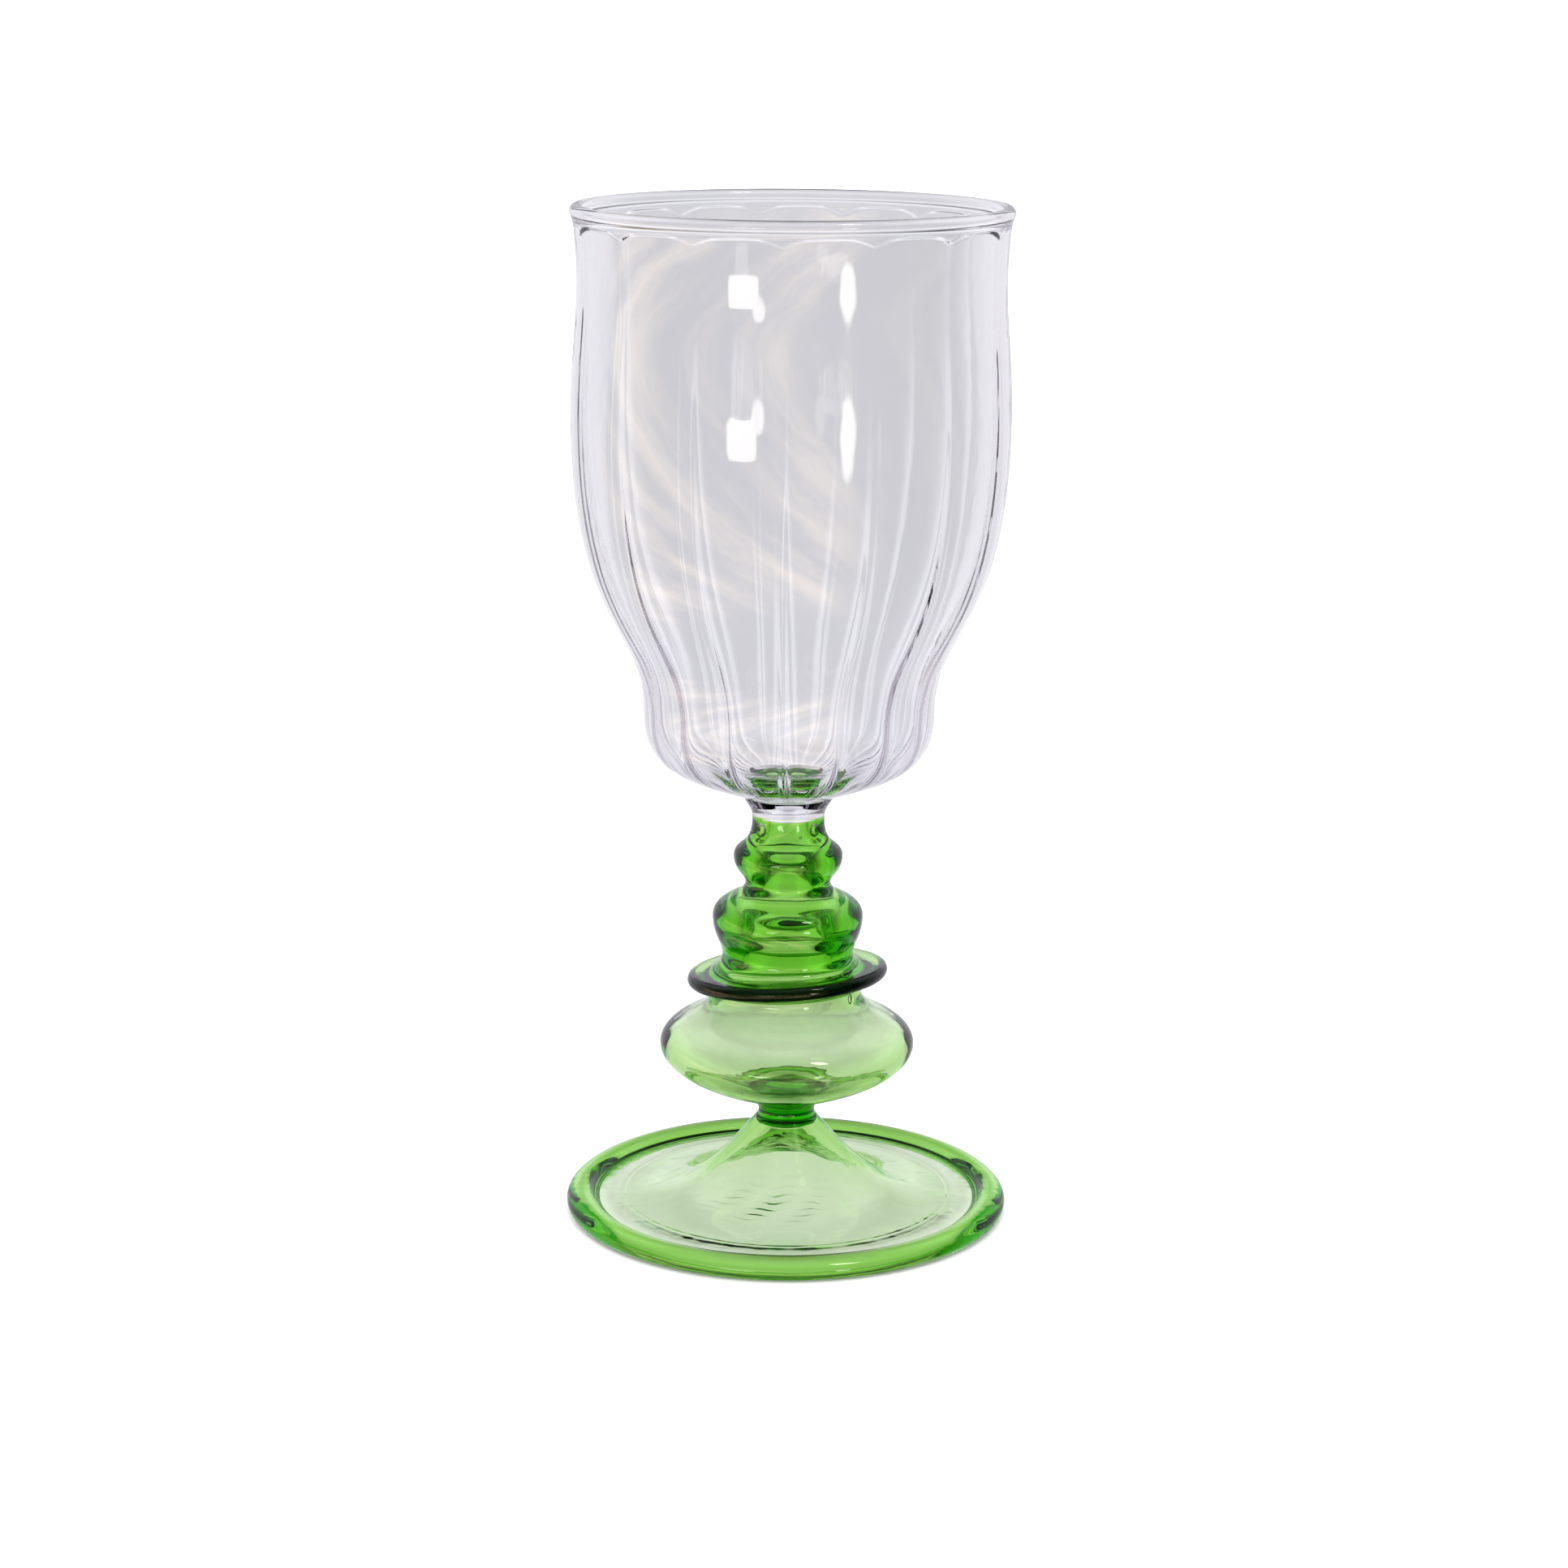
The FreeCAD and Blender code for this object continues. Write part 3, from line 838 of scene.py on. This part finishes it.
def cloud_share(graph, azimuth, elevation):
    """How much of the clouds' colour there is in a direction."""
    drift = graph.node("CombineXYZ")
    lean = graph.math("MULTIPLY", azimuth, 1 / CLOUD_LEAN)
    graph.put(drift.inputs["X"], graph.math("MULTIPLY_ADD", elevation, 1 / CLOUD_HEIGHT, lean))
    graph.put(drift.inputs["Y"], graph.math("MULTIPLY", azimuth, 1 / CLOUD_LENGTH))
    noise = graph.noise(drift.outputs[0], 1.0, CLOUD_DETAIL, CLOUD_ROUGHNESS)
    share = graph.fade(noise, *CLOUD_EDGE)
    share = graph.math("MULTIPLY", share, graph.band(azimuth, *CLOUD_AZIMUTHS))
    return graph.math("MULTIPLY", share, graph.band(elevation, *CLOUD_ELEVATIONS))


def back_tone(graph, azimuth, elevation, sine, sideways):
    """The studio's far side. sine is of the elevation."""
    level_length = graph.math("COSINE", graph.math("ARCSINE", sine))
    turned_aside = graph.math("DIVIDE", graph.math("ABSOLUTE", sideways), level_length)
    side = graph.fade(turned_aside, *SIDE_START)
    near_level = graph.fade(graph.math("ABSOLUTE", elevation), *SIDE_ELEVATIONS, 1.0, 0.0)
    side_share = graph.math("MULTIPLY", side, near_level)
    tone = graph.mix(side_share, tones(graph, elevation, BACK_TONES, BACK_COLOUR), SIDE_COLOUR)
    aside = graph.math("SUBTRACT", 180.0, graph.math("ABSOLUTE", azimuth))
    gain = graph.node("CombineColor")
    for socket in gain.inputs:
        graph.put(socket, graph.fade(aside, *BACKDROP_MIDDLE, 1.0, BACKDROP_GAIN))
    return graph.mix(1.0, tone, gain.outputs[0], "MULTIPLY")


def softbox_offset(graph, angle, middle, half_size):
    """How far an angle is from a softbox's middle. It is 1 at the edge."""
    offset = graph.math("MULTIPLY_ADD", angle, 1 / half_size, -middle / half_size)
    return graph.math("ABSOLUTE", offset)


def studio():
    world = bpy.data.worlds.new("studio")
    bpy.context.scene.world = world
    world.use_nodes = True
    world.cycles.sampling_method = "NONE"
    graph = Graph(world.node_tree)

    direction = graph.node("TexCoord").outputs["Generated"]
    right = camera_axis(graph, (1, 0, 0))
    ahead = graph.vector("CROSS_PRODUCT", (0, 0, 1), right)
    split = graph.node("SeparateXYZ")
    graph.put(split.inputs[0], direction)
    sine = split.outputs["Z"]
    sideways = graph.vector("DOT_PRODUCT", direction, right)
    toward = graph.math("MULTIPLY", graph.vector("DOT_PRODUCT", direction, ahead), -1.0)
    azimuth = graph.math("MULTIPLY", graph.math("ARCTAN2", sideways, toward), DEGREES_PER_RADIAN)
    elevation = graph.math("MULTIPLY", graph.math("ARCSINE", sine), DEGREES_PER_RADIAN)

    path = graph.node("LightPath")
    seen = graph.fade(path.outputs["Transmission Depth"], 0.0, 1.0, 1.0, INNER_SHARE)
    cloud = graph.math("MULTIPLY", cloud_share(graph, azimuth, elevation), seen)
    front = graph.mix(cloud, tones(graph, elevation, FRONT_TONES, FRONT_COLOUR), CLOUD_COLOUR)
    back = back_tone(graph, azimuth, elevation, sine, sideways)
    tone = graph.mix(graph.fade(graph.math("ABSOLUTE", azimuth), *FRONT_EDGE), front, back)

    aim = graph.node("SeparateXYZ")
    graph.put(aim.inputs[0], camera_axis(graph, (0, 0, 1)))
    steep = graph.fade(graph.math("ABSOLUTE", aim.outputs["Z"]), *STEEP_AIM)
    tone = graph.mix(steep, tone, TOP_VIEW_COLOUR)

    for box_azimuth, box_elevation, half_width, half_height, squareness, strength in SOFTBOXES:
        across = softbox_offset(graph, azimuth, box_azimuth, half_width)
        upward = softbox_offset(graph, elevation, box_elevation, half_height)
        powers = [graph.math("POWER", offset, squareness) for offset in (across, upward)]
        share = graph.fade(graph.math("ADD", *powers), SOFTBOX_EDGE, 1.0, 1.0, 0.0)
        tone = graph.mix(graph.math("MULTIPLY", share, seen), tone, (*(strength * SOFTBOX_COLOUR), 1))

    for ray, light in (("Is Diffuse Ray", FLOOR_LIGHT), ("Is Camera Ray", BACKDROP_LIGHT)):
        tone = graph.mix(path.outputs[ray], tone, (light, light, light, 1))
    graph.put(world.node_tree.nodes["Background"].inputs["Color"], tone)


CAMERA_DISTANCE = 0.6488
CAMERA_HEIGHT = 0.2369
CAMERA_PITCH_DEG = 12.15
CAMERA_ROLL_DEG = 0.4
CAMERA_LENS = 82.4
CAMERA_SHIFT = (-0.0033, -0.0506)
CAMERA_CLIP = (0.01, 100)


def camera():
    data = bpy.data.cameras.new("camera")
    data.lens = CAMERA_LENS
    data.shift_x, data.shift_y = CAMERA_SHIFT
    data.clip_start, data.clip_end = CAMERA_CLIP
    view = bpy.data.objects.new("camera", data)
    bpy.context.scene.collection.objects.link(view)
    place = Matrix.Translation((0, -CAMERA_DISTANCE, CAMERA_HEIGHT))
    look = Matrix.Rotation(math.radians(90 - CAMERA_PITCH_DEG), 4, "X")
    roll = Matrix.Rotation(math.radians(CAMERA_ROLL_DEG), 4, "Z")
    view.matrix_world = place @ look @ roll
    bpy.context.scene.camera = view


def settings():
    scene = bpy.context.scene
    scene.view_settings.view_transform = "Standard"
    scene.view_settings.look = "Medium High Contrast"
    scene.view_settings.exposure = -0.2
    scene.cycles.max_bounces = 32
    scene.cycles.transmission_bounces = 32
    scene.cycles.glossy_bounces = 16
    scene.cycles.diffuse_bounces = 3
    scene.cycles.sample_clamp_indirect = 4


floor()
studio()
camera()
settings()
